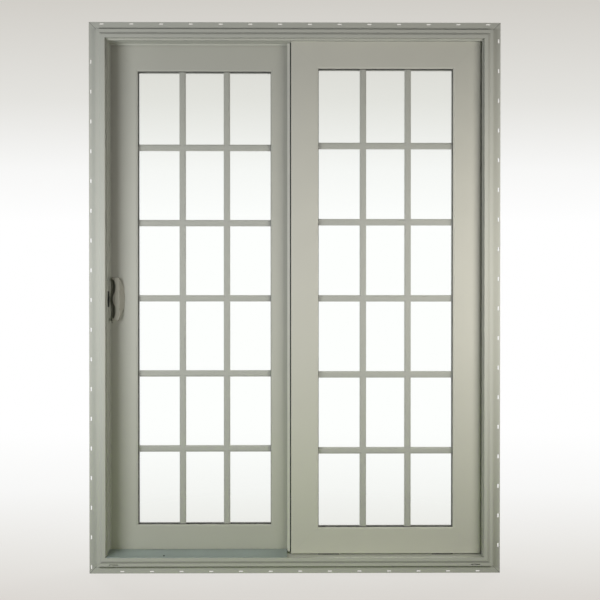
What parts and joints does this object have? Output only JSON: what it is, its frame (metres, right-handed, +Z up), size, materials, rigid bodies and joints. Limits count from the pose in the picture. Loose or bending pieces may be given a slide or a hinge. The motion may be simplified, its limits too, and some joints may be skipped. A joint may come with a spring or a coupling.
{
  "type": "glass sliding patio door",
  "caption": "Vinyl sliding glass patio door in a stepped frame with a slotted nailing fin: a fixed panel, a panel that slides behind it, and bars between the panes.",
  "frame": {"origin": "on the back face of the sill's nailing fin, at the middle of its lower edge", "axes": "+X to the right seen from outside, +Y into the house, +Z up"},
  "size_m": [1.569, 0.1685, 2.102],
  "materials": {
    "clay_vinyl": "smooth extruded vinyl in a clay colour",
    "clear_glass": "clear float glass",
    "bar_enamel": "baked enamel on aluminium bars",
    "dark_spacer": "dark warm-edge spacer",
    "black_gasket": "black glazing gasket",
    "sill_aluminium": "anodised aluminium",
    "plated_steel": "zinc-plated steel",
    "nylon": "moulded nylon",
    "grey_pile": "woven brush pile",
    "clay_enamel": "powder-coated die-cast zinc",
    "black_plastic": "moulded black plastic"
  },
  "bodies": {
    "frame": {"head_jamb": "clay_vinyl", "sill": "clay_vinyl", "left_jamb": "clay_vinyl", "right_jamb": "clay_vinyl", "sill_tread": "sill_aluminium", "roller_track": "sill_aluminium", "setting_blocks": "black_plastic", "jamb_adapter": "clay_vinyl", "fixed_bottom_rail": "clay_vinyl", "fixed_top_rail": "clay_vinyl", "fixed_left_stile": "clay_vinyl", "fixed_right_stile": "clay_vinyl", "fixed_outer_glass": "clear_glass", "fixed_inner_glass": "clear_glass", "fixed_glazing_gasket": "black_gasket", "fixed_glass_spacer": "dark_spacer", "fixed_glazing_beads": "clay_vinyl", "fixed_grille": "bar_enamel", "fixed_interlock": "clay_vinyl", "frame_seals": "grey_pile", "lock_keeper": "plated_steel", "screen_strike": "black_plastic", "open_bumper": "black_plastic"},
    "sliding_panel": {"sliding_bottom_rail": "clay_vinyl", "sliding_top_rail": "clay_vinyl", "sliding_left_stile": "clay_vinyl", "sliding_right_stile": "clay_vinyl", "sliding_outer_glass": "clear_glass", "sliding_inner_glass": "clear_glass", "sliding_glazing_gasket": "black_gasket", "sliding_glass_spacer": "dark_spacer", "sliding_glazing_beads": "clay_vinyl", "sliding_grille": "bar_enamel", "sliding_interlock": "clay_vinyl", "meeting_seal": "grey_pile", "roller_housings": "plated_steel", "roller_wheels": "nylon", "exterior_pull": "clay_enamel", "interior_pull": "clay_enamel", "thumb_latch": "clay_enamel", "lock_face": "plated_steel"}
  },
  "joints": [
    {"name": "panel_slide", "type": "slide", "parent": "frame", "child": "sliding_panel", "axis": [1, 0, 0], "range_m": [0, 0.623]}
  ]
}
